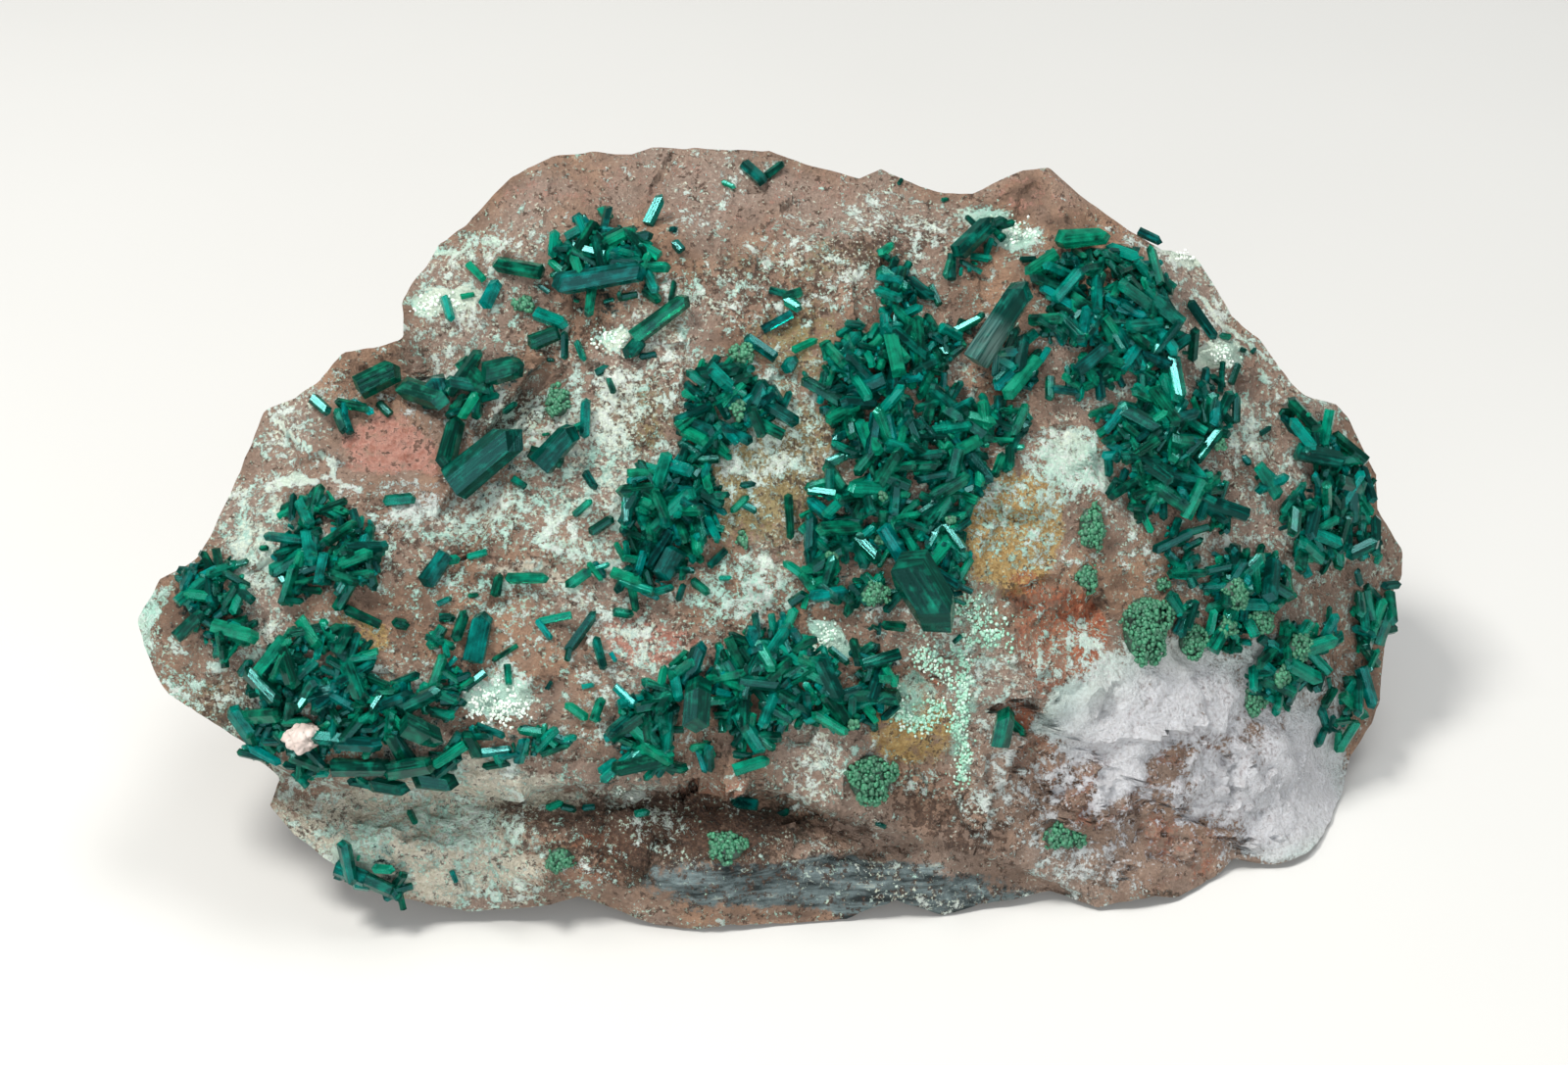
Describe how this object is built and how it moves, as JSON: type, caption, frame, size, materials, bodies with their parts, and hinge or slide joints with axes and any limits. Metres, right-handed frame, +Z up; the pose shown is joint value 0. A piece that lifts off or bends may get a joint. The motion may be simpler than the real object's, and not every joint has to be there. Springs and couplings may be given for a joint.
{
  "type": "dioptase mineral specimen",
  "caption": "Green dioptase prisms and malachite mounds grown on a broken block of pinkish brown rock that lies on its flat underside.",
  "frame": {"origin": "middle of the whole specimen's box on the surface it rests on", "axes": "+X along the length, to the right as the crystal face is looked at; +Z up; the crystal face looks towards -Y and up"},
  "size_m": [0.148, 0.0708, 0.0691],
  "materials": {
    "rock": "rough broken rock, pinkish brown with pale cyan and white crusts",
    "dioptase": "deep teal green translucent crystal, glassy faces",
    "malachite": "sage green granular crust, matt"
  },
  "bodies": {
    "root": {"matrix": "rock", "dioptase_upper_left": "dioptase", "dioptase_middle": "dioptase", "dioptase_centre_left": "dioptase", "dioptase_left": "dioptase", "dioptase_left_tip": "dioptase", "dioptase_lower_left": "dioptase", "dioptase_ledge": "dioptase", "dioptase_lower_middle": "dioptase", "dioptase_centre": "dioptase", "dioptase_upper_right": "dioptase", "dioptase_lower_right": "dioptase", "dioptase_right": "dioptase", "dioptase_right_edge": "dioptase", "dioptase_crest_right": "dioptase", "dioptase_left_rim": "dioptase", "dioptase_fracture_block": "dioptase", "dioptase_fracture_blades": "dioptase", "dioptase_underside_left": "dioptase", "dioptase_prism_01": "dioptase", "dioptase_prism_02": "dioptase", "dioptase_prism_03": "dioptase", "dioptase_prism_04": "dioptase", "dioptase_prism_05": "dioptase", "dioptase_prism_06": "dioptase", "dioptase_prism_07": "dioptase", "dioptase_prism_08": "dioptase", "dioptase_prism_09": "dioptase", "dioptase_prism_10": "dioptase", "dioptase_prism_11": "dioptase", "dioptase_prism_12": "dioptase", "dioptase_prism_13": "dioptase", "dioptase_prism_14": "dioptase", "dioptase_prism_15": "dioptase", "dioptase_prism_16": "dioptase", "dioptase_prism_17": "dioptase", "dioptase_prism_18": "dioptase", "dioptase_prism_19": "dioptase", "dioptase_prism_20": "dioptase", "dioptase_prism_21": "dioptase", "malachite_disc": "malachite", "malachite_lip_middle": "malachite", "malachite_lip_left": "malachite", "malachite_lip_right": "malachite", "malachite_band_upper": "malachite", "malachite_band_lower": "malachite", "malachite_patch_left": "malachite", "malachite_patch_right": "malachite", "malachite_drop": "malachite", "malachite_fracture": "malachite", "malachite_upper_left": "malachite"}
  },
  "joints": []
}
